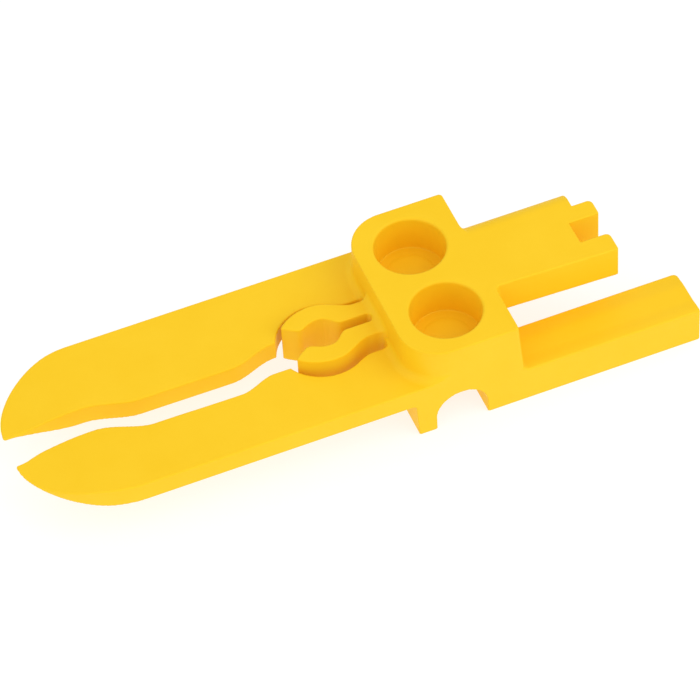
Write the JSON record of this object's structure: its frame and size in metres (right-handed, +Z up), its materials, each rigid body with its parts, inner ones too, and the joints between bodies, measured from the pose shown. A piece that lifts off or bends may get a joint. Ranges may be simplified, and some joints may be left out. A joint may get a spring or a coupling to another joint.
{
  "type": "tyre lever",
  "caption": "One-piece yellow plastic tyre lever and hose tool: twin tapered blades, snap hose clip, block with round pockets, arch below, and a stepped fork over a bar.",
  "frame": {"origin": "middle of the underside of the tool's box, on the plane of the leg's foot, the heel and the bar's underside", "axes": "+X from the blade tips to the end of the bar, +Y to the rear, away from the side the bar is on, +Z up from the feet to the mouths of the pockets"},
  "size_m": [0.12, 0.034, 0.0188],
  "materials": {
    "yellow_plastic": "satin moulded plastic, uncoated"
  },
  "bodies": {
    "moulding": {"pocket_block": "yellow_plastic", "base_plate": "yellow_plastic", "support_leg": "yellow_plastic", "heel_block": "yellow_plastic", "rear_blade": "yellow_plastic", "front_blade": "yellow_plastic", "rear_blade_root": "yellow_plastic", "front_blade_root": "yellow_plastic", "clip_root": "yellow_plastic", "tongue_body": "yellow_plastic", "shoulder_step": "yellow_plastic", "rear_prong": "yellow_plastic", "front_prong": "yellow_plastic", "front_bar": "yellow_plastic"},
    "rear_finger": {"rear_clip_finger": "yellow_plastic"},
    "front_finger": {"front_clip_finger": "yellow_plastic"}
  },
  "joints": [
    {"name": "rear_finger_flex", "type": "hinge", "parent": "moulding", "child": "rear_finger", "pos_m": [0.0055, 0.0028, 0.0056], "axis": [0, 0, -1], "range_deg": [-2, 6.5], "stiffness_Nm_per_rad": 0.4},
    {"name": "front_finger_flex", "type": "hinge", "parent": "moulding", "child": "front_finger", "pos_m": [0.0055, -0.0024, 0.0056], "axis": [0, 0, 1], "range_deg": [-2, 6.5], "stiffness_Nm_per_rad": 0.4}
  ]
}
